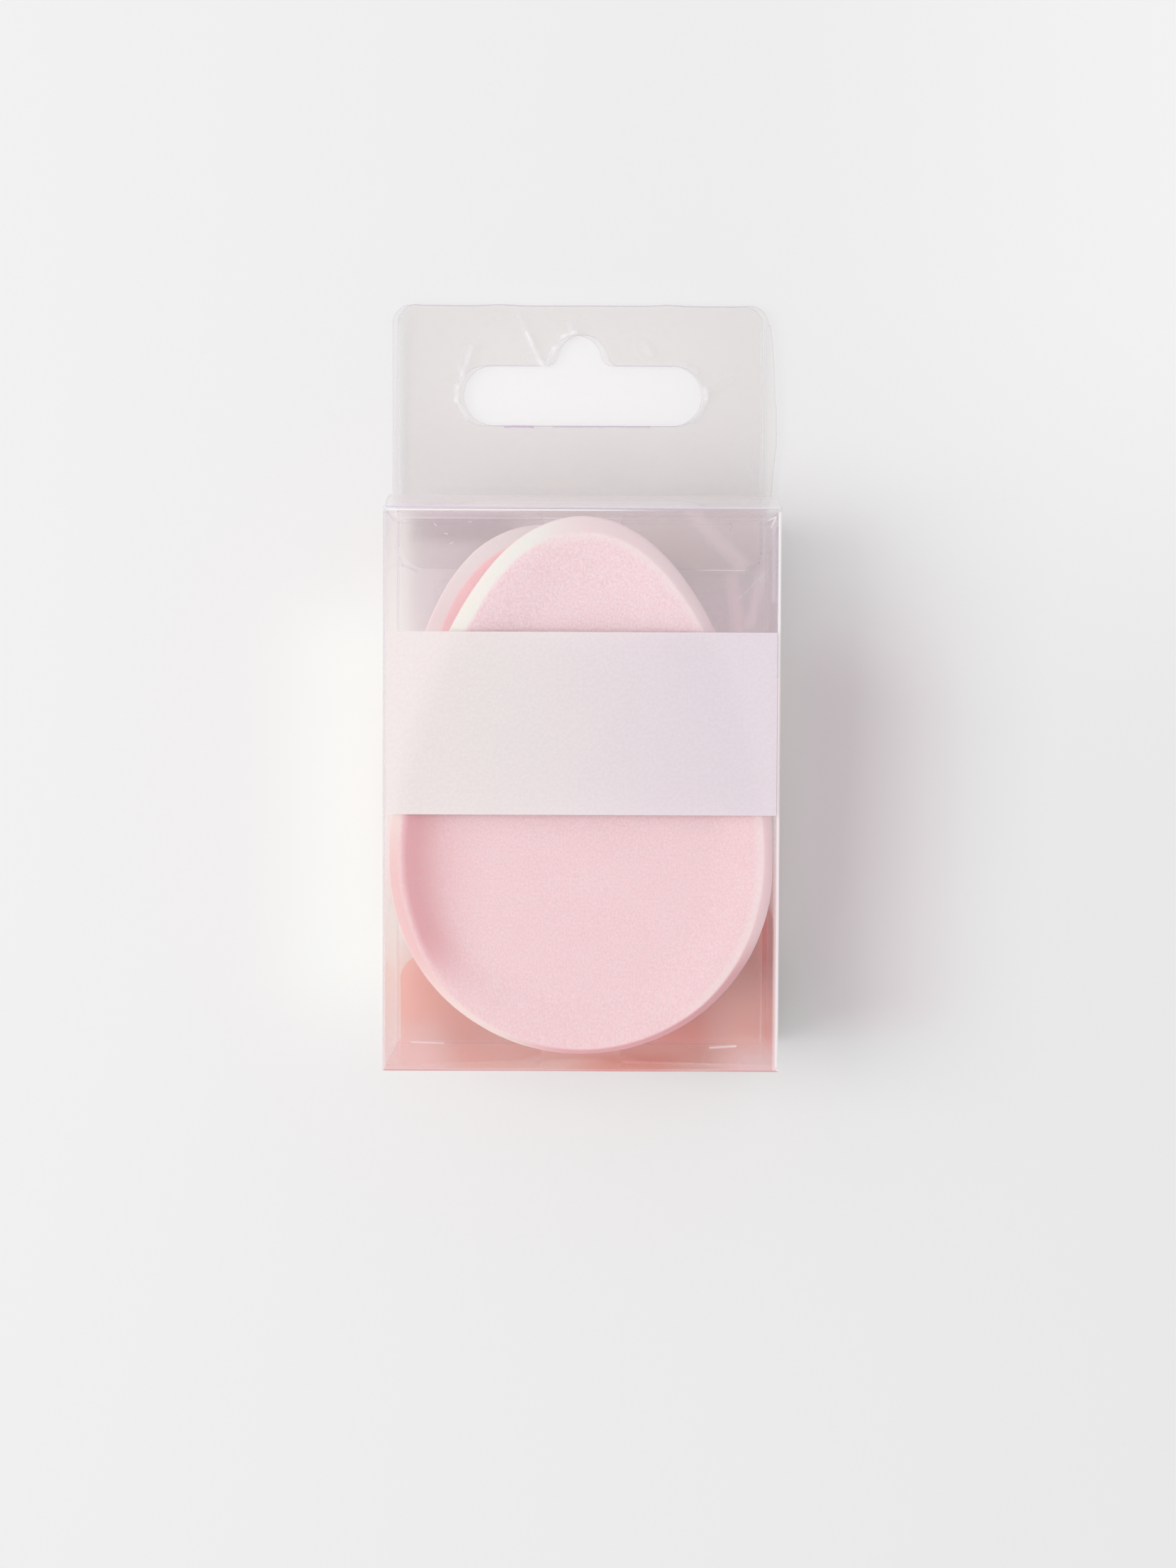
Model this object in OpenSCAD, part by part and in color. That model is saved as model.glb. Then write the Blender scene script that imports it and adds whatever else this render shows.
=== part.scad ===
// Hang pack of two flat egg-shaped makeup sponges in a clear folding carton.
// It lies on its back: +Z out of the front panel, +Y towards the hang tab.
// The origin is on the outer face of the back panel, in the middle of the carton.

/* [Sponge] */
// Width of a sponge at its widest
sponge_w = 48.2; // [44:0.2:56]
// Height of a sponge from tip to foot
sponge_h = 68.2; // [62:0.2:80]
// Thickness of a sponge
sponge_t = 10.7; // [8:0.1:14]
// Mean width of the slanted rim of the front face
rim_w = 1.6; // [1.2:0.1:2.4]
// How much wider the rim is at the tip, and narrower at the foot
rim_swing = 0.8; // [0:0.1:1]
// Depth of the slanted rim of the front face
rim_h = 2.1; // [1:0.1:3]
// Width and depth of the small slant round the back face
back_rim = 1.1; // [0.6:0.1:2]
// Depth of the dish in the front face
dish_h = 0.8; // [0:0.1:1.4]
// Distance over which the dish sinks from the rim
dish_run = 7; // [4:0.5:9]
// Turn of the rear sponge, tip to the left
rear_turn = 10; // [5:1:12]

/* [Carton] */
// Thickness of the clear film
film_t = 0.3; // [0.24:0.02:0.4]
// Outer radius of a rolled crease
crease_r = 0.2; // [0.16:0.01:0.28]
// Outer radius of the crease beside the glued seam, two films thick
seam_r = 0.32; // [0.28:0.01:0.4]
// Gap between a crease and the film that turns about it
crease_gap = 0.05; // [0.03:0.01:0.1]
// Clearance between a sponge and each side wall
side_fit = 0.45; // [0.35:0.05:0.8]
// Clearance between the tip of the front sponge and the top dust flaps
head_fit = 0.3; // [0.2:0.1:2]
// Clearance between the foot of the front sponge and the bottom dust flaps
foot_fit = 1.1; // [1:0.1:3]
// Clearance between the front sponge and the front panel
front_fit = 0.42; // [0.2:0.02:1]
// Clearance between the two sponges
pair_fit = 0.25; // [0.2:0.05:0.6]
// Clearance between the rear sponge and the tuck flap that it rests over
rest_fit = 0.3; // [0.2:0.05:0.6]
// Width of the glued flap inside the right side panel
glue_w = 12; // [8:0.5:16]
// Slant of the two ends of the glued flap
glue_slant = 3; // [1:0.5:5]

/* [Closures] */
// Clearance between the closing panel and the dust flaps under it
lid_fit = 0.1; // [0.08:0.02:0.3]
// Gap between the back panel and the crease of a tuck flap
tuck_gap = 0.45; // [0.4:0.05:0.8]
// Clearance at each end of a tuck flap and of the lid
end_fit = 0.35; // [0.3:0.05:1]
// Length of the tuck flap of the lid
lid_tuck_l = 6.9; // [5:0.1:9]
// Corner radius of the tuck flap of the lid
lid_tuck_r = 3.3; // [1:0.1:3.4]
// Angle at which the tuck flap of the lid leans into the carton
lid_tuck_lean = 6; // [4:0.5:9]
// How much higher the rear crease of the lid lies than the front one
lid_rise = 0.4; // [0:0.1:0.8]
// How far the sprung lid bows out between its creases
lid_bow = 2.1; // [1:0.1:3]
// Length of the tuck flap of the bottom
foot_tuck_l = 12; // [8:0.1:13]
// Corner radius of the tuck flap of the bottom
foot_tuck_r = 3; // [1:0.1:5]
// Angle at which the tuck flap of the bottom leans into the carton
foot_tuck_lean = 6; // [5:0.5:8]
// Length of a dust flap, from its crease to its free end
dust_l = 19.6; // [14:0.2:21]
// Distance of a dust flap from the front crease, at its own crease
dust_front = 0.7; // [0.6:0.1:2]
// How much further back the front corner of its free end lies
dust_taper = 3; // [2.8:0.1:6]
// Distance of a dust flap from the back panel
dust_back = 2.1; // [1.8:0.1:4]
// Corner radius at the free end of a dust flap
dust_r = 1.2; // [0.5:0.1:3]

/* [Hang tab] */
// Height of the fold of the hang tab above the front top crease
tab_root = 1.6; // [1.4:0.1:3]
// Length of the hang tab from its fold to its top edge
tab_l = 27.1; // [25:0.1:34]
// How far the sides of the rear ply lie in from the side walls, before its shift
tab_inset = 0.2; // [0:0.1:3]
// Corner radius of the hang tab
tab_r = 2.6; // [1:0.1:5]
// How far the rear ply lies to the left
tab_shift = 0.8; // [0:0.1:1]
// How far the sides of the front ply lie in from the side walls, at its top edge
ply_inset = 0; // [0:0.1:3]
// How far the right edge of the front ply swells out at its middle
ply_swell = 1.1; // [0:0.1:1.5]
// Gap between the two plies of the hang tab
ply_gap = 0.02; // [0.01:0.01:0.05]
// Length of the hang hole
slot_w = 32; // [28:0.5:34]
// Height of the hang hole at its ends
slot_h = 8; // [6:0.2:10]
// Distance from the top edge of the tab to the top of the hang hole, without its crown
slot_drop = 8.1; // [5:0.1:9]
// How far the crown rises above the hang hole
crown_h = 4.1; // [2:0.1:5]
// Radius of the crown
crown_r = 3.4; // [2:0.1:4]
// Radius of the round corners between the crown and the hang hole
crown_fillet = 1.6; // [0.5:0.1:3]

/* [Prints] */
// Thickness of a printed patch
print_t = 0.06; // [0.04:0.01:0.1]
// Height of the printed band on the front panel
band_h = 23; // [15:0.5:30]
// Distance of the printed band from the front top crease
band_drop = 15.7; // [10:0.1:22]
// Distance of the printed band from each side crease
band_side = 0.45; // [0.3:0.05:3]
// Width of the printed patch on the back panel
patch_w = 40; // [20:1:46]
// Height of the printed patch on the back panel
patch_h = 44; // [20:1:48]
// Distance of the printed patch from the front top crease
patch_drop = 8.2; // [7.6:0.2:12]

/* [Hidden] */
$fn = 48;

// Shares of the half width that give the egg outline, by powers of the cosine
egg_shares = [0.964, -0.268, 0.049, 0.081];
// Shares of the rim width and of the rim depth where the rounded rim turns, from the wall inward
edge_shares = [[0.05, 0.86], [0.38, 0.5]];
// Shares of the dish run and of the dish depth at each ring of the dish
dish_shares = [[0.06, 0.01], [0.25, 0.16], [0.5, 0.52], [0.75, 0.85], [1, 1]];
// Corners round the outline of a sponge
egg_n = 72;
// Angle over which the slope of the outline is taken
egg_step = 0.5;
// Points along the wavy edge of the front ply
wave_n = 24;
// Shares of the swell that the ripples of the wavy edge have
ripple_share = 0.08;
// Ripples along the wavy edge
ripple_count = 5;

// Carton, worked out from what it holds
box_w = sponge_w + 2 * side_fit + 3 * film_t;
crease_out = crease_r + crease_gap;
crease_z = film_t + tuck_gap + crease_r;
tuck_top = crease_z + max(lid_tuck_l * sin(lid_tuck_lean), foot_tuck_l * sin(foot_tuck_lean))
    + crease_out * sin(foot_tuck_lean) + film_t - crease_r;
rear_z = tuck_top + rest_fit;
front_z = rear_z + sponge_t + pair_fit;
box_d = front_z + sponge_t + front_fit + film_t;
hinge_z = box_d - crease_r;
// Distance from each end of the front panel to the inner face of a dust flap
dust_in = 2 * crease_r + lid_fit + film_t;
box_h = sponge_h + head_fit + foot_fit + 2 * dust_in;
top_y = box_h / 2;
hinge_y = top_y - crease_r;
side_y = hinge_y - crease_r - lid_fit;
seat_x = -film_t / 2;
seat_y = (foot_fit - head_fit) / 2;
side_x = box_w / 2 - crease_r;
tuck_w = box_w - 2 * film_t - 2 * end_fit;
rear_y = hinge_y + lid_rise;
tab_y = top_y + tab_root;
tab_w = box_w - 2 * tab_inset;
ply_w = box_w - 2 * ply_inset;
// Height of the lower edge of the hang hole above the fold of the tab
slot_up = tab_l - slot_drop - slot_h;

// The lid is an arc from its front crease to its rear one
lid_chord = norm([lid_rise, hinge_z - crease_z]);
lid_arc_r = (lid_chord * lid_chord / 4 + lid_bow * lid_bow) / (2 * lid_bow);
lid_half = asin(lid_chord / 2 / lid_arc_r);
lid_slope = atan2(lid_rise, hinge_z - crease_z);
lid_skip = atan2(crease_out / cos(lid_half), lid_arc_r);

// A rectangle from the crease outward, with its two far corners rounded
module tongue(w, l, r) {
    corner = min(r, l / 2);
    translate([-w / 2, 0]) square([w, l - corner]);
    translate([corner - w / 2, 0]) square([w - 2 * corner, l]);
    for (s = [-1, 1]) translate([s * (w / 2 - corner), l - corner]) circle(corner);
}

// Film in the plane of its crease: the crease runs along X and the outer side faces -Z
module leaf() {
    translate([0, 0, -crease_r]) linear_extrude(film_t) children();
}

// A rolled crease of length l along X
module roll(l, r) {
    translate([-l / 2, 0, 0]) rotate([0, 90, 0]) cylinder(h = l, r = r);
}

// A rolled crease of height l along Y
module post(l, r) {
    translate([0, l / 2, 0]) rotate([90, 0, 0]) cylinder(h = l, r = r);
}

module front_panel() {
    color([0.86, 0.85, 0.89, 0.5]) {
        translate([crease_r - box_w / 2, -hinge_y, box_d - film_t])
            cube([box_w - crease_r - seam_r, 2 * hinge_y, film_t]);
        for (s = [-1, 1]) translate([0, s * hinge_y, hinge_z]) roll(box_w, crease_r);
        translate([-side_x, 0, hinge_z]) post(2 * side_y, crease_r);
        translate([box_w / 2 - seam_r, 0, box_d - seam_r]) post(2 * side_y, seam_r);
    }
}

// A side wall with the creases of its two dust flaps; low and high are its edges in Z
module side_panel(s, low, high) {
    y = side_y - crease_r;
    translate([s > 0 ? box_w / 2 - film_t : -box_w / 2, -y, low]) cube([film_t, 2 * y, high - low]);
    for (e = [-1, 1]) translate([s * side_x, e * y, low]) cylinder(h = high - low, r = crease_r);
}

module left_side_panel() {
    color([0.92, 0.9, 0.92, 0.5]) side_panel(-1, crease_r + crease_out, hinge_z - crease_out);
}

module right_side_panel() {
    color([0.88, 0.84, 0.88, 0.5])
        side_panel(1, crease_r + crease_out, box_d - 2 * seam_r - crease_gap);
}

module back_panel() {
    color([0.82, 0.8, 0.84, 0.5]) {
        translate([crease_r - box_w / 2, -top_y, 0])
            cube([box_w - 2 * crease_r, tab_y + top_y, film_t]);
        for (s = [-1, 1]) translate([s * side_x, 0, crease_r]) post(2 * side_y, crease_r);
        translate([0, tab_y, crease_r]) roll(box_w - 2 * crease_r, crease_r);
    }
}

module glue_flap() {
    far = box_d - 2 * seam_r - crease_gap;
    end_y = side_y - 2 * crease_r - glue_slant / 2;
    color([0.84, 0.8, 0.86, 0.5])
        translate([box_w / 2 - 2 * film_t, 0, 0]) rotate([0, -90, 0]) mirror([0, 0, 1])
            linear_extrude(film_t)
                polygon([[far - glue_w, -end_y + glue_slant], [far, -end_y],
                    [far, end_y], [far - glue_w, end_y - glue_slant]]);
}

module lid_panel() {
    color([0.84, 0.83, 0.88, 0.5]) {
        translate([0, hinge_y, hinge_z]) rotate([lid_slope, 0, 0])
            translate([0, lid_bow - lid_arc_r + crease_r - film_t, -lid_chord / 2])
                rotate([0, -90, 0]) rotate([0, 0, 90])
                    translate([0, 0, -box_w / 2 + end_fit / 2])
                        rotate([0, 0, lid_skip - lid_half])
                            rotate_extrude(angle = 2 * lid_half - lid_skip)
                                translate([lid_arc_r, 0]) square([film_t, box_w - end_fit]);
        translate([0, rear_y, crease_z]) roll(box_w - end_fit, crease_r);
    }
}

module lid_tuck_flap() {
    color([0.8, 0.78, 0.83, 0.5])
        translate([0, rear_y, crease_z]) rotate([lid_tuck_lean, 0, 180])
            leaf() translate([0, crease_out]) tongue(tuck_w, lid_tuck_l - crease_out, lid_tuck_r);
}

module bottom_panel() {
    color([0.9, 0.78, 0.78, 0.5]) {
        translate([end_fit / 2 - box_w / 2, -top_y, crease_z])
            cube([box_w - end_fit, film_t, hinge_z - crease_out - crease_z]);
        translate([0, -hinge_y, crease_z]) roll(box_w - end_fit, crease_r);
    }
}

module bottom_tuck_flap() {
    color([0.9, 0.74, 0.73, 0.5])
        translate([0, -hinge_y, crease_z]) rotate([foot_tuck_lean, 0, 0])
            leaf() translate([0, crease_out]) tongue(tuck_w, foot_tuck_l - crease_out, foot_tuck_r);
}

// A dust flap on the side s, at the top or the bottom end e
module dust_flap(s, e) {
    root = side_x - crease_out;
    tip = side_x - dust_l;
    low = dust_back;
    high = hinge_z - dust_front;
    translate([0, e > 0 ? side_y - film_t : film_t - side_y, 0]) rotate([e > 0 ? -90 : 90, 0, 0])
        mirror([s > 0 ? 0 : 1, 0, 0]) mirror([0, e > 0 ? 1 : 0, 0])
            linear_extrude(film_t) {
                polygon([[root, low], [root, high], [tip + dust_r, high - dust_taper],
                    [tip + dust_r, low]]);
                translate([tip, low + dust_r])
                    square([dust_r, high - dust_taper - low - 2 * dust_r]);
                for (z = [low + dust_r, high - dust_taper - dust_r])
                    translate([tip + dust_r, z]) circle(dust_r);
            }
}

module top_left_dust_flap() { color([0.86, 0.84, 0.88, 0.5]) dust_flap(-1, 1); }

module top_right_dust_flap() { color([0.86, 0.84, 0.88, 0.5]) dust_flap(1, 1); }

module bottom_left_dust_flap() { color([0.9, 0.76, 0.75, 0.5]) dust_flap(-1, -1); }

module bottom_right_dust_flap() { color([0.9, 0.74, 0.73, 0.5]) dust_flap(1, -1); }

// The hang hole: a round-ended slot with a crown, whose foot is filleted
module hang_hole() {
    foot = slot_up + slot_h;
    axle = foot + crown_h - crown_r;
    reach = crown_r + crown_fillet;
    lift = foot + crown_fillet - axle;
    run = sqrt(reach * reach - lift * lift);
    meet = [run, lift] * crown_r / reach;
    translate([slot_h / 2 - slot_w / 2, slot_up]) square([slot_w - slot_h, slot_h]);
    for (s = [-1, 1]) translate([s * (slot_w - slot_h) / 2, slot_up + slot_h / 2]) circle(slot_h / 2);
    translate([0, axle]) circle(crown_r);
    difference() {
        polygon([[-run, foot - crown_fillet], [run, foot - crown_fillet], [run, foot],
            [meet[0], axle + meet[1]], [-meet[0], axle + meet[1]], [-run, foot]]);
        for (s = [-1, 1]) translate([s * run, foot + crown_fillet]) circle(crown_fillet);
    }
}

module hang_tab_rear_ply() {
    color([0.9, 0.9, 0.91, 0.5])
        translate([0, tab_y, crease_r]) leaf() difference() {
            translate([-tab_shift, crease_out]) tongue(tab_w, tab_l - crease_out, tab_r);
            hang_hole();
        }
}

// How far the right edge of the front ply swells out at share u of its length
function swell(u) = ply_swell * (sin(180 * u) + ripple_share * sin(360 * ripple_count * u));

module hang_tab_front_ply() {
    start = 2 * crease_out;
    right = ply_w / 2;
    color([0.88, 0.88, 0.89, 0.5])
        translate([0, tab_y, crease_r + film_t + ply_gap]) leaf() difference() {
            union() {
                translate([0, start]) tongue(ply_w, tab_l - start, tab_r);
                polygon(concat([[0, start]],
                    [for (i = [0:wave_n]) [right + swell(i / wave_n),
                        start + (tab_l - tab_r - start) * i / wave_n]],
                    [[0, tab_l - tab_r]]));
            }
            hang_hole();
        }
}

module front_band() {
    color([0.92, 0.89, 0.92, 0.9])
        translate([band_side - box_w / 2, top_y - band_drop - band_h, box_d])
            cube([box_w - 2 * band_side, band_h, print_t]);
}

module back_patch() {
    color([0.9, 0.88, 0.9, 0.6])
        translate([-patch_w / 2, top_y - patch_drop - patch_h, film_t])
            cube([patch_w, patch_h, print_t]);
}

// The egg outline of unit half width, and its point and outward normal at angle a from the tip
function egg_x(a) = let (c = cos(a))
    sin(a) * (egg_shares[0] + egg_shares[1] * c + egg_shares[2] * c * c + egg_shares[3] * c * c * c);
egg_peak = max([for (a = [0:1:180]) egg_x(a)]);
function egg_at(a) = [sponge_w / 2 * egg_x(a) / egg_peak, sponge_h / 2 * cos(a)];
function egg_normal(a) = let (d = egg_at(a + egg_step) - egg_at(a - egg_step))
    [-d[1], d[0]] / norm(d);
function egg_ring(inset, swing, z) = [for (i = [0:egg_n - 1]) let (a = 360 * i / egg_n,
    p = egg_at(a) - (inset + swing * cos(a)) * egg_normal(a)) [p[0], p[1], z]];

// A sponge: a flat back, straight walls, a slanted rim and a dished face
module sponge() {
    top = sponge_t;
    rings = concat(
        [egg_ring(back_rim, 0, 0), egg_ring(0, 0, back_rim), egg_ring(0, 0, top - rim_h)],
        [for (e = edge_shares) egg_ring(rim_w * e[0], rim_swing * e[0], top - rim_h * e[1])],
        [egg_ring(rim_w, rim_swing, top)],
        [for (d = dish_shares) egg_ring(rim_w + dish_run * d[0], rim_swing, top - dish_h * d[1])]);
    count = len(rings);
    hub = count * egg_n;
    polyhedron(
        points = concat([for (r = rings) each r], [[0, 0, 0], [0, 0, top - dish_h]]),
        faces = concat(
            [for (k = [0:count - 2], i = [0:egg_n - 1]) let (j = (i + 1) % egg_n)
                [k * egg_n + i, (k + 1) * egg_n + i, k * egg_n + j]],
            [for (k = [0:count - 2], i = [0:egg_n - 1]) let (j = (i + 1) % egg_n)
                [(k + 1) * egg_n + i, (k + 1) * egg_n + j, k * egg_n + j]],
            [for (i = [0:egg_n - 1]) [i, (i + 1) % egg_n, hub]],
            [for (i = [0:egg_n - 1]) [(count - 1) * egg_n + (i + 1) % egg_n, (count - 1) * egg_n + i,
                hub + 1]]));
}

module front_sponge() {
    color([0.95, 0.83, 0.85]) translate([seat_x, seat_y, front_z]) sponge();
}

// The turned rear sponge is centred between the walls by the reach of its outline
rear_reach = [for (a = [0:1:359]) let (p = egg_at(a)) p[0] * cos(rear_turn) - p[1] * sin(rear_turn)];
rear_x = seat_x - (max(rear_reach) + min(rear_reach)) / 2;

module rear_sponge() {
    color([0.94, 0.8, 0.82])
        translate([rear_x, seat_y, rear_z]) rotate([0, 0, rear_turn]) sponge();
}

front_panel();
left_side_panel();
right_side_panel();
back_panel();
glue_flap();
lid_panel();
lid_tuck_flap();
top_left_dust_flap();
top_right_dust_flap();
bottom_panel();
bottom_tuck_flap();
bottom_left_dust_flap();
bottom_right_dust_flap();
hang_tab_rear_ply();
hang_tab_front_ply();
front_band();
back_patch();
front_sponge();
rear_sponge();
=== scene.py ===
# Hang pack of two flat egg-shaped makeup sponges in a clear folding carton.
# Everything is in metres, in the frame of the CAD model: +Z out of the front panel, +Y to the hang tab.
import math
import bmesh
import bpy
from mathutils import Matrix, Vector, noise


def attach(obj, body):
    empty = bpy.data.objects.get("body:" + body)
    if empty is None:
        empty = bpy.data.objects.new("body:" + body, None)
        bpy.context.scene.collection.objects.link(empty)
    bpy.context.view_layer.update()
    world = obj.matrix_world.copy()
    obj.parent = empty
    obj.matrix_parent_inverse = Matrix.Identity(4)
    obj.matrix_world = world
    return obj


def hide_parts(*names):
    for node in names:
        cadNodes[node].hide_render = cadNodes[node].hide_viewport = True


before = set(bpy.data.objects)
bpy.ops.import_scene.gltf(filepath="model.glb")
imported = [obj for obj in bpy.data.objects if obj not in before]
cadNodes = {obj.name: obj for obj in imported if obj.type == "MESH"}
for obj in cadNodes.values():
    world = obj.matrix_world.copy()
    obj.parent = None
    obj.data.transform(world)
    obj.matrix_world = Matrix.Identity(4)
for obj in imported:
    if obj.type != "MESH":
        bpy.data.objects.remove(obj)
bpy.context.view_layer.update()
scene = bpy.context.scene
mm = 0.001
print("frame loaded:", len(cadNodes), "nodes")


# Camera
viewpoint = dict(x=-0.33, y=12.66, z=340.9, turnX=-2.15, turnY=-0.21, turnZ=0.23, lens=57.67, sensor=36.0,
                 near=0.01)


def placeCamera(v):
    lookout = bpy.data.objects.new("packCamera", bpy.data.cameras.new("packCamera"))
    scene.collection.objects.link(lookout)
    lookout.data.lens = v["lens"]
    lookout.data.sensor_width = v["sensor"]
    lookout.data.sensor_fit = "AUTO"
    lookout.data.clip_start = v["near"]
    turn = Matrix.Identity(3)
    for axis in "XYZ":
        turn = turn @ Matrix.Rotation(math.radians(v["turn" + axis]), 3, axis)
    lookout.location = (v["x"] * mm, v["y"] * mm, v["z"] * mm)
    lookout.rotation_euler = turn.to_euler()
    scene.camera = lookout


placeCamera(viewpoint)


# Node helpers: a value is a number, a colour or another node's output
def addNode(tree, kind, values=None, **settings):
    made = tree.nodes.new("ShaderNode" + kind)
    for key, value in settings.items():
        setattr(made, key, value)
    for key, value in (values or {}).items():
        feed(tree, made.inputs[key], value)
    return made


def feed(tree, socket, value):
    if isinstance(value, bpy.types.NodeSocket):
        tree.links.new(value, socket)
    else:
        socket.default_value = value


def calc(tree, operation, a, b=0.0, c=0.0):
    return addNode(tree, "Math", {0: a, 1: b, 2: c}, operation=operation).outputs[0]


def ramp(tree, value, low, high, first=0.0, last=1.0):
    # Smooth step of a value from low to high
    values = {"Value": value, "From Min": low, "From Max": high, "To Min": first, "To Max": last}
    return addNode(tree, "MapRange", values, interpolation_type="SMOOTHSTEP").outputs[0]


def blendColor(tree, share, a, b):
    made = addNode(tree, "Mix", data_type="RGBA")
    feed(tree, made.inputs[0], share)
    feed(tree, made.inputs[6], a)
    feed(tree, made.inputs[7], b)
    return made.outputs[2]


def clamped(tree, value):
    return addNode(tree, "Clamp", {0: value}).outputs[0]


def zoneOf(tree, place, limits, zone=1.0):
    # Each limit names an axis, where the zone sets in and where it is full
    for axis, low, high in limits:
        zone = calc(tree, "MULTIPLY", zone, ramp(tree, place["XYZ".index(axis)], low, high))
    return zone


def lightOnly(tree):
    # 1 for the rays that carry light and aren't seen, so that film can let them pass
    path = addNode(tree, "LightPath")
    return calc(tree, "MAXIMUM", path.outputs["Is Shadow Ray"], path.outputs["Is Diffuse Ray"])


def srgb(r, g, b):
    # An sRGB colour in 0..255 as linear RGBA
    made = []
    for value in (r, g, b):
        value /= 255
        made.append(value / 12.92 if value <= 0.04045 else ((value + 0.055) / 1.055) ** 2.4)
    return (*made, 1.0)


def newMaterial(name):
    made = bpy.data.materials.new(name)
    made.use_nodes = True
    made.node_tree.nodes.clear()
    return made, made.node_tree


def mixShader(tree, share, first, second):
    return addNode(tree, "MixShader", {0: share, 1: first.outputs[0], 2: second.outputs[0]})


def finishMaterial(tree, surface):
    output = addNode(tree, "OutputMaterial")
    tree.links.new(surface.outputs[0], output.inputs["Surface"])


def objectPlace(tree):
    # X, Y and Z of a point of the piece, in millimetres
    spot = addNode(tree, "TexCoord").outputs["Object"]
    parts = addNode(tree, "SeparateXYZ", {0: spot})
    return spot, [calc(tree, "MULTIPLY", parts.outputs[k], 1000.0) for k in range(3)]


def carried(tree, key):
    # A measure that the piece's own mesh carries
    return addNode(tree, "Attribute", attribute_name=key).outputs["Fac"]


def stroke(tree, place, line):
    # A soft painted stroke between two points, in the XY plane unless the line names another
    u, v = (place["XYZ".index(axis)] for axis in line.get("plane", "XY"))
    (au, av), (bu, bv) = line["start"], line["end"]
    du, dv = bu - au, bv - av
    long2 = du * du + dv * dv
    fromU, fromV = calc(tree, "SUBTRACT", u, au), calc(tree, "SUBTRACT", v, av)
    along = calc(tree, "MULTIPLY_ADD", fromU, du / long2, calc(tree, "MULTIPLY", fromV, dv / long2))
    along = clamped(tree, along)
    offU = calc(tree, "MULTIPLY_ADD", along, -du, fromU)
    offV = calc(tree, "MULTIPLY_ADD", along, -dv, fromV)
    away = calc(tree, "SQRT", calc(tree, "MULTIPLY_ADD", offU, offU, calc(tree, "MULTIPLY", offV, offV)))
    body = ramp(tree, away, line["wide"], 0.0)
    fade = line.get("fade")
    if fade:
        body = calc(tree, "MULTIPLY", body, ramp(tree, along, fade[0], fade[1], 1.0, 0.0))
    return body


# Clear film: what is behind shows through, edges and creases catch the light
filmLook = dict(
    clear=(0.997, 0.992, 0.989, 1.0), passes=0.993, shade=0.3, dims=(),
    mirror=0.02, graze=0.75, grazePower=5.0, gloss=0.1, gleams=(),
    haze=0.006, hazeColor=srgb(226, 224, 228), veilRough=0.35,
    speckScale=900.0, specks=(0.5, 0.8, 0.0, 0.008), noiseDetail=2.0,
    rim=0.3, rimColor=srgb(206, 194, 218), rimFrom=0.85, rimTo=0.3,
    wobbleScale=70.0, wobble=0.00006, edge=0.0, edgeRun=(0.35, 0.9),
    glowSway=(0.3, 0.7, 0.85, 1.1), glowPull=6.0,
    warp=0.0, bendScale=700.0, bendDetail=1.0, streak=srgb(255, 253, 255), streakPull=3.0,
)


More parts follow.
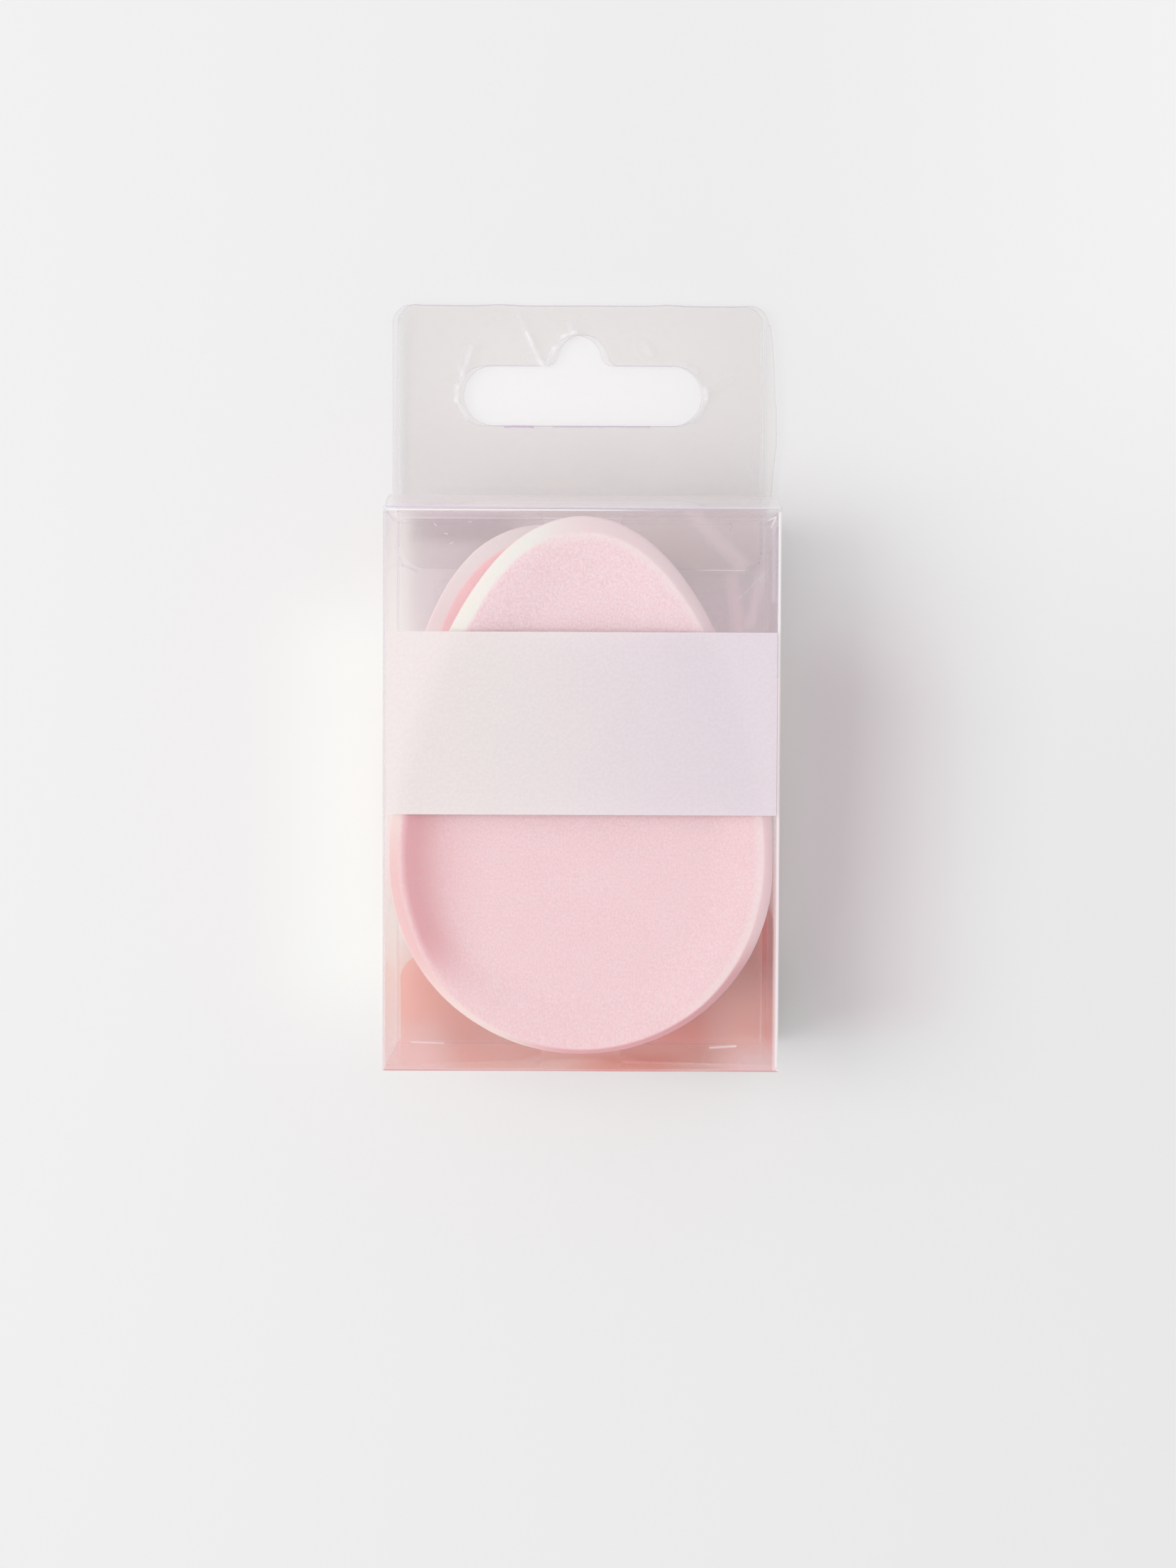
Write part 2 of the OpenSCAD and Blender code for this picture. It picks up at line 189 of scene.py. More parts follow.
def filmMaterial(name, face="Z", glows=(), strokes=(), **changes):
    look = {**filmLook, **changes}
    made, tree = newMaterial(name)
    spot, place = objectPlace(tree)
    normal = addNode(tree, "SeparateXYZ", {0: addNode(tree, "TexCoord").outputs["Normal"]})
    flat = calc(tree, "ABSOLUTE", normal.outputs["XYZ".index(face)])
    rim = ramp(tree, flat, look["rimFrom"], look["rimTo"])
    detail = look["noiseDetail"]
    cloud = addNode(tree, "TexNoise", {"Vector": spot, "Scale": look["wobbleScale"], "Detail": detail})
    speck = addNode(tree, "TexNoise", {"Vector": spot, "Scale": look["speckScale"], "Detail": detail})
    # The share of the veil over what is behind, and the veil's colour
    share = calc(tree, "MULTIPLY_ADD", rim, look["rim"], look["haze"])
    share = calc(tree, "ADD", share, ramp(tree, speck.outputs[0], *look["specks"]))
    color = blendColor(tree, rim, look["hazeColor"], look["rimColor"])
    clear = look["clear"]
    if look["edge"]:
        # The cut edge of a ply shows as a thin line
        line = ramp(tree, carried(tree, "edge"), *look["edgeRun"])
        share = calc(tree, "MULTIPLY_ADD", line, look["edge"], share)
        color = blendColor(tree, line, color, look["rimColor"])
    for glow in glows:
        # A zone with a tint for what shows through, a colour and strength of its own, or both: painted
        # reflection, sheen or shade
        zone = zoneOf(tree, place, glow.get("limits", ()), ramp(tree, cloud.outputs[0], *look["glowSway"]))
        if "tint" in glow:
            clear = blendColor(tree, clamped(tree, zone), clear, glow["tint"])
        if "strength" in glow:
            zone = calc(tree, "MULTIPLY", zone, glow["strength"])
            pull = clamped(tree, calc(tree, "MULTIPLY", zone, look["glowPull"]))
            color = blendColor(tree, pull, color, glow["color"])
            share = calc(tree, "ADD", share, zone)
    if look["warp"]:
        # Painted highlights on crinkled film wander a little
        bend = addNode(tree, "TexNoise", {"Vector": spot, "Scale": look["bendScale"],
                                          "Detail": look["bendDetail"]})
        shift = addNode(tree, "SeparateXYZ", {0: bend.outputs["Color"]})
        away = [calc(tree, "SUBTRACT", shift.outputs[k], 0.5) for k in range(3)]
        place = [calc(tree, "MULTIPLY_ADD", away[k], look["warp"] * 2, place[k]) for k in range(3)]
    for line in strokes:
        mark = calc(tree, "MULTIPLY", stroke(tree, place, line), line["strength"])
        pull = clamped(tree, calc(tree, "MULTIPLY", mark, look["streakPull"]))
        color = blendColor(tree, pull, color, line.get("color", look["streak"]))
        share = calc(tree, "ADD", share, mark)
    # Film dims the light that it lets through far less than it veils what is behind it
    passing = lightOnly(tree)
    keep = calc(tree, "MULTIPLY_ADD", passing, look["shade"] - 1.0, 1.0)
    share = calc(tree, "MULTIPLY", clamped(tree, share), keep)
    # Tints are for the eye only, and some places let less light through
    light = look["passes"]
    for amount, axis, low, high in look["dims"]:
        light = calc(tree, "SUBTRACT", light, ramp(tree, place["XYZ".index(axis)], low, high, 0.0, amount))
    clear = blendColor(tree, passing, clear, light if look["dims"] else look["clear"])
    ripple = addNode(tree, "Bump", {"Height": cloud.outputs[0], "Distance": look["wobble"], "Strength": 1.0})
    facing = addNode(tree, "LayerWeight", {"Blend": 0.5}).outputs["Facing"]
    graze = calc(tree, "POWER", facing, look["grazePower"])
    shine = calc(tree, "MULTIPLY", calc(tree, "MULTIPLY_ADD", graze, look["graze"], look["mirror"]), keep)
    through = addNode(tree, "BsdfTransparent", {"Color": clear})
    # What the film mirrors at a flat angle may take a painted colour along it, a painted reflection
    gleam = (1, 1, 1, 1)
    for axis, low, high, tone in look["gleams"]:
        gleam = blendColor(tree, ramp(tree, place["XYZ".index(axis)], low, high), gleam, tone)
    mirror = addNode(tree, "BsdfAnisotropic", {"Color": gleam, "Roughness": look["gloss"],
                                               "Normal": ripple.outputs[0]})
    veil = addNode(tree, "BsdfPrincipled", {"Base Color": color, "Roughness": look["veilRough"],
                                            "Normal": ripple.outputs[0]})
    finishMaterial(tree, mixShader(tree, share, mixShader(tree, shine, through, mirror), veil))
    return made


def dress(node, material):
    cad = cadNodes[node]
    if not cad.material_slots:
        cad.data.materials.append(material)
    for place in cad.material_slots:
        place.material = material


def showMesh(name, shape, material, body, smooth=True):
    mesh = bpy.data.meshes.new(name)
    shape.to_mesh(mesh)
    shape.free()
    for face in mesh.polygons:
        face.use_smooth = smooth
    piece = bpy.data.objects.new(name, mesh)
    scene.collection.objects.link(piece)
    mesh.materials.append(material)
    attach(piece, body)
    print(name, "made:", len(mesh.polygons), "faces")
    return piece


# Sponges: an egg outline carried round a lathed foam profile
spongeShape = dict(
    halfWidth=24.5, halfHeight=34.1, thick=10.7, eggShares=(0.964, -0.268, 0.049, 0.081),
    rimDepth=1.0, dishDepth=0.8, dishRun=7.0, press=(-24.6, 24.31, 0.35),
    lathe=10.0, around=96, weld=1e-5, slopeStep=0.5, soften=2,
    lumps=0.05, lumpSize=7.0, fineLumps=0.4, fineSize=1.3,
    # Profile: shares of the way out over the back, then inset, cut share and height round its edge
    backRuns=(0.0, 0.3, 0.6, 0.85, 0.96, 1.0), backInset=1.1,
    edgeRings=((0.45, 0.5, 0.2), (0.1, 1.0, 0.65), (0.0, 1.0, 1.4)),
    # Heights up the wall, with the last one below the rim, and the way in and up the rim
    wallHeights=(3.6, 6.2), wallEnd=0.5, rimRings=((0.02, 0.98), (0.16, 0.76), (0.5, 0.4), (0.86, 0.1)),
    # The crest, the way into the dish and down it, and shares of the way back to the hub
    crestDrop=0.015,
    dishRings=((0.025, 0.01), (0.1, 0.05), (0.27, 0.18), (0.5, 0.52), (0.75, 0.85), (1.0, 1.0)),
    faceRuns=(0.85, 0.7, 0.55, 0.4, 0.25, 0.12, 0.0), faceSag=0.06,
    # Width of the slanted rim by angle, clockwise from the tip
    rimRun=((0, 2.2), (37, 1.6), (50, 1.4), (104, 1.4), (121, 1.3), (135, 1.1), (147, 0.85), (180, 0.65),
            (213, 0.9), (225, 1.2), (239, 1.45), (256, 1.4), (285, 1.6), (310, 2.05), (323, 1.9), (360, 2.2)),
)
spongePlaces = dict(
    frontSponge=dict(x=0.05, y=0.5, z=13.5805, turn=0.0, body="front_sponge"),
    rearSponge=dict(x=-1.65, y=0.4, z=2.6305, turn=10.0, body="rear_sponge"),
)


def eggPoint(shape, angle, peak):
    c = math.cos(angle)
    wide = math.sin(angle) * sum(k * c ** n for n, k in enumerate(shape["eggShares"]))
    return Vector((shape["halfWidth"] * wide / peak, shape["halfHeight"] * c))


def rimRun(shape, degrees):
    table = shape["rimRun"]
    for (a, wide), (b, wider) in zip(table, table[1:]):
        if degrees <= b:
            return wide + (wider - wide) * (degrees - a) / (b - a)
    return table[-1][1]


def foamProfile(shape):
    # Each ring has its share of the way out from the hub, its inset, its share of the rim's width,
    # its cut share, its way into the dish and its height
    top, deep, run, sunk = shape["thick"], shape["rimDepth"], shape["dishRun"], shape["dishDepth"]
    rings = [(k, shape["backInset"], 0.0, 0.0, -1.0, 0.0) for k in shape["backRuns"]]
    rings += [(1.0, inset, 0.0, cut, -1.0, high) for inset, cut, high in shape["edgeRings"]]
    wallHeights = (*shape["wallHeights"], top - deep - shape["wallEnd"])
    rings += [(1.0, 0.0, 0.0, 1.0, -1.0, high) for high in wallHeights]
    rings += [(1.0, 0.0, u, 1.0, -1.0, top - deep * v) for u, v in shape["rimRings"]]
    rings += [(1.0, 0.0, 1.0, 0.5, 0.0, top - shape["crestDrop"])]
    rings += [(1.0, run * u, 1.0, 0.0, run * u, top - sunk * v) for u, v in shape["dishRings"]]
    for k in shape["faceRuns"]:
        rings.append((k, run, 1.0, 0.0, run, top - sunk * (1 + shape["faceSag"] * (1 - k))))
    return rings


def pressed(x, shape):
    # Foam flattens softly where it meets the side walls
    low, high, ease = shape["press"]
    if x > high - ease:
        return high - ease * math.exp((high - ease - x) / ease)
    if x < low + ease:
        return low + ease * math.exp((x - low - ease) / ease)
    return x


def foamSponge(name, place, shape, material):
    peak = max(eggPoint(shape, math.radians(k / 2), 1.0).x for k in range(361)) / shape["halfWidth"]
    rings = foamProfile(shape)
    foam = bmesh.new()
    layers = [foam.verts.layers.float.new(k) for k in ("share", "inset", "rim", "cut", "dish")]
    chain = []
    for number, ring in enumerate(rings):
        # On the lathe the rings only need to be apart: their true place comes from the layers
        latheRadius = 0.0 if number in (0, len(rings) - 1) else shape["lathe"] + ring[0]
        spot = foam.verts.new((0.0, latheRadius, float(number)))
        for layer, value in zip(layers, ring[:5]):
            spot[layer] = value
        chain.append(spot)
    edges = [foam.edges.new(pair) for pair in zip(chain, chain[1:])]
    bmesh.ops.spin(foam, geom=chain + edges, cent=(0, 0, 0), axis=(0, 0, 1), angle=2 * math.pi,
                   steps=shape["around"], use_merge=True, use_duplicate=False)
    bmesh.ops.remove_doubles(foam, verts=foam.verts[:], dist=shape["weld"])
    turn = math.radians(place["turn"])
    step = math.radians(shape["slopeStep"])
    for spot in foam.verts:
        ring = rings[round(spot.co.z)]
        angle = math.atan2(spot.co.x, spot.co.y) % (2 * math.pi)
        rim = eggPoint(shape, angle, peak)
        slope = eggPoint(shape, angle + step, peak) - eggPoint(shape, angle - step, peak)
        outward = Vector((-slope.y, slope.x)).normalized()
        inset = spot[layers[1]] + spot[layers[2]] * rimRun(shape, math.degrees(angle))
        rim = (rim - outward * inset) * spot[layers[0]]
        x = place["x"] + rim.x * math.cos(turn) - rim.y * math.sin(turn)
        y = place["y"] + rim.x * math.sin(turn) + rim.y * math.cos(turn)
        spot.co = Vector((pressed(x, shape), y, place["z"] + ring[5])) * mm
    bmesh.ops.recalc_face_normals(foam, faces=foam.faces[:])
    piece = showMesh(name, foam, material, place["body"])
    smooth = piece.modifiers.new("soft", "SUBSURF")
    smooth.levels = smooth.render_levels = shape["soften"]
    solid = bpy.data.meshes.new_from_object(piece.evaluated_get(bpy.context.evaluated_depsgraph_get()))
    piece.modifiers.clear()
    piece.data = solid
    # Open-cell foam is never quite even
    outwards = [spot.normal.copy() for spot in solid.vertices]
    for spot, outward in zip(solid.vertices, outwards):
        sway = noise.noise(spot.co / (shape["lumpSize"] * mm))
        sway += shape["fineLumps"] * noise.noise(spot.co / (shape["fineSize"] * mm))
        spot.co += outward * (sway * shape["lumps"] * mm)
    for face in solid.polygons:
        face.use_smooth = True
    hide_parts(place["body"])
    return piece


foamLook = dict(
    face=srgb(252, 222, 226), faceTop=srgb(253, 230, 235), faceDeep=srgb(240, 198, 206),
    hollowShade=srgb(230, 174, 181), crest=srgb(251, 236, 235), wall=srgb(246, 220, 222),
    # Rim tones: the lit ones and the tip carry painted light, the deep one at the foot painted shade
    rimLit=srgb(241, 239, 233), rimPink=srgb(238, 198, 199), rimFoot=srgb(245, 223, 220),
    rimTip=srgb(241, 239, 234), rimTurned=srgb(242, 222, 227), rimFootTurned=srgb(255, 221, 226),
    rimFootShade=srgb(238, 175, 183),
    mottle=0.6, mottleRun=(0.33, 0.67), grainShare=0.9, cloudScale=220.0,
    grainScale=4600.0, grainStretch=0.7, grainRough=0.6, noiseDetail=3.0,
    poreScale=3600.0, poreDepth=-0.5, bump=0.00005, bumpShare=0.6,
    # Where the tones change, in millimetres along the pack
    litAcross=(1.0, -10.0), litSlant=-0.05, pinkDown=(6.0, -13.0), footDown=(-20.0, -29.0),
    tipUp=(22.0, 30.0), turnedDown=(20.0, -8.0), deepDown=(-17.0, -25.0), faceUp=(6.0, 20.0),
    crestAcross=(0.0, 9.0), crestSlant=0.35, hollowAcross=(-8.0, -14.0),
    hollowSide=(-11.0, -21.0, 0.0, 0.45), hollowTop=(14.0, -4.0), hollowFoot=(-27.0, -18.0),
    # And across the rim, or in millimetres into the dish
    rimStart=(0.0, 0.12), crestStart=(-0.5, -0.05), crestEnd=(1.5, 0.2, 0.0, 0.5),
    hollowStart=(-0.1, 1.0), hollowEnd=(6.1, 1.4, 0.0, 0.55),
    rough=0.9, specular=0.15, depthShare=0.35, depthTone=(1.0, 0.45, 0.4), depth=0.0015,
    fuzz=0.12, fuzzRough=0.6,
)
# The rear sponge is the same foam, given darker tones as painted shade under the front sponge
foamFinishes = dict(
    frontSponge={},
    rearSponge=dict(rimLit=srgb(229, 213, 215), rimTip=srgb(230, 220, 222), rimTurned=srgb(236, 218, 220),
                    face=srgb(243, 196, 200), faceTop=srgb(245, 208, 211)),
)


def foamMaterial(name, look):
    made, tree = newMaterial(name)
    spot, place = objectPlace(tree)
    x, y = place[:2]
    detail = look["noiseDetail"]
    # The grain is drawn out a little along the pack
    drawn = addNode(tree, "VectorMath", {0: spot, 1: (1.0, look["grainStretch"], 1.0)}, operation="MULTIPLY")
    grain = addNode(tree, "TexNoise", {"Vector": drawn.outputs[0], "Scale": look["grainScale"],
                                       "Detail": detail, "Roughness": look["grainRough"]})
    cloud = addNode(tree, "TexNoise", {"Vector": spot, "Scale": look["cloudScale"], "Detail": detail})
    pores = addNode(tree, "TexVoronoi", {"Vector": spot, "Scale": look["poreScale"]}, feature="F1")
    cut, dish, rim = (carried(tree, key) for key in ("cut", "dish", "rim"))
    # The cut rim and the walls are paler than the pressed face; palest at the tip and where they turn to the
    # upper left, towards the lamp, as painted light, and pinker where they turn away, darkest at the lower
    # right foot as painted shade
    leftward = ramp(tree, calc(tree, "MULTIPLY_ADD", y, look["litSlant"], x), *look["litAcross"])
    lit = blendColor(tree, ramp(tree, y, *look["pinkDown"]), look["rimLit"], look["rimPink"])
    lit = blendColor(tree, ramp(tree, y, *look["footDown"]), lit, look["rimFoot"])
    lit = blendColor(tree, ramp(tree, y, *look["tipUp"]), lit, look["rimTip"])
    turned = blendColor(tree, ramp(tree, y, *look["turnedDown"]), look["rimTurned"], look["rimFootTurned"])
    turned = blendColor(tree, ramp(tree, y, *look["deepDown"]), turned, look["rimFootShade"])
    edge = blendColor(tree, leftward, turned, lit)
    edge = blendColor(tree, ramp(tree, rim, *look["rimStart"]), look["wall"], edge)
    mottled = calc(tree, "MULTIPLY", cloud.outputs[0], 1.0 - look["grainShare"])
    mottled = calc(tree, "MULTIPLY_ADD", grain.outputs[0], look["grainShare"], mottled)
    face = blendColor(tree, ramp(tree, y, *look["faceUp"]), look["face"], look["faceTop"])
    mottled = ramp(tree, mottled, *look["mottleRun"], 0.0, look["mottle"])
    face = blendColor(tree, mottled, face, look["faceDeep"])
    # A paler crest follows the rim at the top and down the right side, painted light where the face rises to
    # the rim
    crest = calc(tree, "MULTIPLY", ramp(tree, dish, *look["crestEnd"]), ramp(tree, dish, *look["crestStart"]))
    across = calc(tree, "MULTIPLY_ADD", y, look["crestSlant"], x)
    crest = calc(tree, "MULTIPLY", crest, ramp(tree, across, *look["crestAcross"]))
    face = blendColor(tree, crest, face, look["crest"])
    # Painted shade deepens the dish's colour along its left side, which slopes away from the lamp
    hollowShade = calc(tree, "ADD", ramp(tree, dish, *look["hollowEnd"]), ramp(tree, x, *look["hollowSide"]))
    for value, run in ((dish, "hollowStart"), (x, "hollowAcross"), (y, "hollowTop"), (y, "hollowFoot")):
        hollowShade = calc(tree, "MULTIPLY", hollowShade, ramp(tree, value, *look[run]))
    face = blendColor(tree, hollowShade, face, look["hollowShade"])
    color = blendColor(tree, cut, face, edge)
    height = calc(tree, "MULTIPLY_ADD", pores.outputs["Distance"], look["poreDepth"], grain.outputs[0])
    bump = addNode(tree, "Bump", {"Height": height, "Distance": look["bump"], "Strength": look["bumpShare"]})
    foam = addNode(tree, "BsdfPrincipled", {
        "Base Color": color, "Roughness": look["rough"], "Normal": bump.outputs[0],
        "Specular IOR Level": look["specular"], "Subsurface Weight": look["depthShare"],
        "Subsurface Radius": look["depthTone"], "Subsurface Scale": look["depth"],
        "Sheen Weight": look["fuzz"], "Sheen Roughness": look["fuzzRough"]})
    finishMaterial(tree, foam)
    return made


for spongeName, spongePlace in spongePlaces.items():
    foamFinish = foamMaterial(spongeName + "Foam", {**foamLook, **foamFinishes[spongeName]})
    foamSponge(spongeName, spongePlace, spongeShape, foamFinish)


# Hang tab: two plies cut from film, a little out of register, gently waved, with painted highlights where it
# is crinkled round the hang hole
tabShape = dict(
    root=37.45, top=64.3, corner=2.6, film=0.3, slotY=52.2, slotR=4.0,
    crownY=56.9, crownR=3.4, crownTurn=10.4, fillet=1.6, filletY=57.8, filletX=4.918,
    cornerSteps=12, roundSteps=24, filletSteps=8,
    # The top edge waves: each swelling has a middle, a spread and a height
    topRuns=40, topDip=0.08, topSwells=((-11.2, 2.2, 0.18), (11.4, 1.8, 0.16)),
    # The film lifts towards its end, with a slow bow across it and a flutter
    lift=0.5, bow=(0.35, 0.21, 0.6), flutter=0.1, flutterScale=(0.12, 0.14, 3.0),
    grid=1.3, gridAcross=(-26.5, 27.0), gridPast=0.3, edgeLine=0.3, crease=40.0,
    weld=1e-4, near=1e-5, straight=0.001,
)
tabPlies = dict(
    tabRearPly=dict(left=-25.6, right=24.2, low=0.0, root=37.45, slotLeft=-17.1, slotRight=16.35, crownX=-0.9,
                    node="hang_tab_rear_ply", swell=()),
    tabFrontPly=dict(left=-24.9, right=25.0, low=0.32, root=37.7, slotLeft=-16.0, slotRight=16.0, crownX=0.0,
                     node="hang_tab_front_ply",
                     swell=((37.7, 0.35), (39.5, 0.6), (42.5, 0.8), (45.5, 1.15), (47.5, 1.2), (50.5, 1.15),
                            (52.0, 0.95), (55.5, 0.85), (57.5, 0.7), (59.5, 0.55), (61.7, 0.25))),
)
# Painted highlights where the crinkled film catches the light, and painted lilac edge lines along the lower
# edge of the hang hole
tabHighlights = [
    dict(start=(-8.7, 63.0), end=(-7.0, 59.0), wide=0.72, strength=0.17),
    dict(start=(-7.6, 60.6), end=(-5.4, 56.0), wide=0.59, strength=0.28),
    dict(start=(-7.2, 57.1), end=(-5.6, 56.5), wide=0.78, strength=0.17),
    dict(start=(-15.1, 58.7), end=(-15.7, 56.6), wide=0.78, strength=0.25),
    dict(start=(-16.7, 56.0), end=(-16.2, 54.9), wide=0.72, strength=0.22),
    dict(start=(-15.9, 55.9), end=(-16.9, 53.4), wide=0.65, strength=0.19),
    dict(start=(-17.0, 53.4), end=(-17.1, 51.6), wide=0.72, strength=0.28),
    dict(start=(-17.1, 51.6), end=(-15.6, 49.1), wide=0.65, strength=0.22),
    dict(start=(-4.9, 56.4), end=(-3.9, 58.6), wide=0.65, strength=0.28),
    dict(start=(-3.9, 58.6), end=(-2.6, 60.1), wide=0.65, strength=0.22),
    dict(start=(-2.7, 60.2), end=(-1.0, 60.7), wide=0.65, strength=0.3),
    dict(start=(-1.9, 61.9), end=(-1.5, 60.9), wide=0.78, strength=0.19),
    dict(start=(8.2, 59.0), end=(8.9, 58.0), wide=1.3, strength=0.22),
    dict(start=(12.8, 56.6), end=(15.2, 55.6), wide=0.91, strength=0.19),
    dict(start=(16.4, 53.2), end=(16.5, 52.0), wide=0.8, strength=0.3),
    dict(start=(17.0, 52.6), end=(19.8, 54.4), wide=0.91, strength=0.11),
    dict(start=(16.6, 51.6), end=(15.2, 49.2), wide=0.78, strength=0.17),
    dict(start=(-21.0, 39.4), end=(2.0, 39.2), wide=1.04, strength=0.06),
    dict(start=(-16.0, 38.3), end=(14.0, 38.3), wide=0.65, strength=0.06),
    dict(start=(-24.9, 61.0), end=(-24.9, 38.0), wide=0.91, strength=0.14),
    dict(start=(23.7, 40.2), end=(22.3, 42.6), wide=0.52, strength=0.07),
    dict(start=(24.1, 61.0), end=(24.1, 38.5), wide=0.45, strength=0.17),
    dict(start=(-10.5, 48.05), end=(-6.6, 48.05), wide=0.2, strength=0.45, color=srgb(206, 180, 214)),
    dict(start=(-4.0, 48.05), end=(9.0, 48.1), wide=0.18, strength=0.3, color=srgb(210, 188, 214)),
]


def arcPoints(x, y, radius, first, last, count):
    return [(x + radius * math.cos(math.radians(first + (last - first) * k / count)),
             y + radius * math.sin(math.radians(first + (last - first) * k / count)))
            for k in range(count + 1)]


def tabOutline(ply, t):
    # Anticlockwise from the lower left corner, with a slightly wavy top edge
    corner, steps = t["corner"], t["cornerSteps"]
    line = [(ply["left"], ply["root"])]
    line += [(ply["right"] + swell, y) for y, swell in ply["swell"]] or [(ply["right"], ply["root"])]
    line += arcPoints(ply["right"] - corner, t["top"] - corner, corner, 0, 90, steps)
    for k in range(1, t["topRuns"]):
        x = ply["right"] - corner + (ply["left"] - ply["right"] + 2 * corner) * k / t["topRuns"]
        wave = sum(high * math.exp(-((x - middle) / spread) ** 2) for middle, spread, high in t["topSwells"])
        line.append((x, t["top"] - t["topDip"] + wave))
    line += arcPoints(ply["left"] + corner, t["top"] - corner, corner, 90, 180, steps)
    return line


def holeOutline(ply, t):
    middle, r, turn = t["slotY"], t["slotR"], t["crownTurn"]
    wide, small = t["roundSteps"], t["filletSteps"]
    line = arcPoints(ply["slotRight"] - r, middle, r, -90, 90, wide)
    line += arcPoints(ply["crownX"] + t["filletX"], t["filletY"], t["fillet"], 270, 180 + turn, small)
    line += arcPoints(ply["crownX"], t["crownY"], t["crownR"], turn, 180 - turn, wide)
    line += arcPoints(ply["crownX"] - t["filletX"], t["filletY"], t["fillet"], -turn, -90, small)
    line += arcPoints(ply["slotLeft"] + r, middle, r, 90, 270, wide)
    return line


def cutSheet(outlines, weld):
    # A flat filled curve with its hole, as a mesh
    drawing = bpy.data.curves.new("cutting", "CURVE")
    drawing.dimensions = "2D"
    drawing.fill_mode = "BOTH"
    for outline in outlines:
        run = drawing.splines.new("POLY")
        run.points.add(len(outline) - 1)
        for point, (x, y) in zip(run.points, outline):
            point.co = (x, y, 0.0, 1.0)
        run.use_cyclic_u = True
    holder = bpy.data.objects.new("cutting", drawing)
    scene.collection.objects.link(holder)
    flat = bpy.data.meshes.new_from_object(holder.evaluated_get(bpy.context.evaluated_depsgraph_get()))
    bpy.data.objects.remove(holder)
    shape = bmesh.new()
    shape.from_mesh(flat)
    bmesh.ops.remove_doubles(shape, verts=shape.verts[:], dist=weld)
    return shape


def tabLift(x, y, t):
    # How far the film stands off the surface, from nothing at the fold
    up = (y - t["root"]) / (t["top"] - t["root"])
    share, pace, start = t["bow"]
    acrossScale, alongScale, layer = t["flutterScale"]
    rise = t["lift"] * up * up * (1 + share * math.sin(x * pace + start))
    rise += t["flutter"] * up * (1 + noise.noise(Vector((x * acrossScale, y * alongScale, layer))))
    return rise


def filmPly(name, ply, t, material):
    sheet = cutSheet([tabOutline(ply, t), holeOutline(ply, t)], t["weld"])
    bmesh.ops.dissolve_limit(sheet, angle_limit=t["straight"], verts=sheet.verts[:], edges=sheet.edges[:],
                             use_dissolve_boundaries=False)
    bmesh.ops.inset_region(sheet, faces=sheet.faces[:], thickness=t["edgeLine"], use_boundary=True,
                           use_even_offset=True)
    layer = sheet.verts.layers.float.new("edge")
    for spot in sheet.verts:
        spot[layer] = 1.0 if spot.is_boundary else 0.0
    for axis, low, high in ((0, *t["gridAcross"]), (1, t["root"], t["top"] + t["gridPast"])):
        for k in range(1, int((high - low) / t["grid"])):
            across = Vector((0.0, 0.0, 0.0))
            across[axis] = 1.0
            spot = across * (low + k * t["grid"])
            bmesh.ops.bisect_plane(sheet, geom=sheet.verts[:] + sheet.edges[:] + sheet.faces[:],
                                   plane_co=spot, plane_no=across, dist=t["near"])
    bmesh.ops.recalc_face_normals(sheet, faces=sheet.faces[:])
    if sum(face.normal.z for face in sheet.faces) < 0:
        bmesh.ops.reverse_faces(sheet, faces=sheet.faces[:])
    for spot in sheet.verts:
        spot.co.z = ply["low"] + tabLift(spot.co.x, spot.co.y, t)
    bmesh.ops.solidify(sheet, geom=sheet.faces[:], thickness=-t["film"])
    bmesh.ops.recalc_face_normals(sheet, faces=sheet.faces[:])
    low = min(spot.co.z for spot in sheet.verts)
    bmesh.ops.translate(sheet, verts=sheet.verts[:], vec=(0, 0, ply["low"] - low))
    bmesh.ops.scale(sheet, verts=sheet.verts[:], vec=(mm, mm, mm))
    piece = showMesh(name, sheet, material, "hang_tab")
    piece.data.set_sharp_from_angle(angle=math.radians(t["crease"]))
    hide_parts(ply["node"])
    return piece


# A grey veil that grows towards the fold, and a painted highlight along the left edge
tabFilm = dict(
    warp=0.13, edge=0.14, wobble=0.00015, clear=(0.986, 0.982, 0.98, 1.0),
    glows=[dict(color=srgb(184, 178, 190), strength=0.045, limits=(("Y", 56.0, 38.0),)),
           dict(color=srgb(250, 250, 252), strength=0.07, limits=(("X", -22.8, -24.6),))],
)
for plyName, plyCut in tabPlies.items():
    plyHighlights = tabHighlights if plyName == "tabFrontPly" else ()
    filmPly(plyName, plyCut, tabShape, filmMaterial(plyName + "Film", strokes=plyHighlights, **tabFilm))


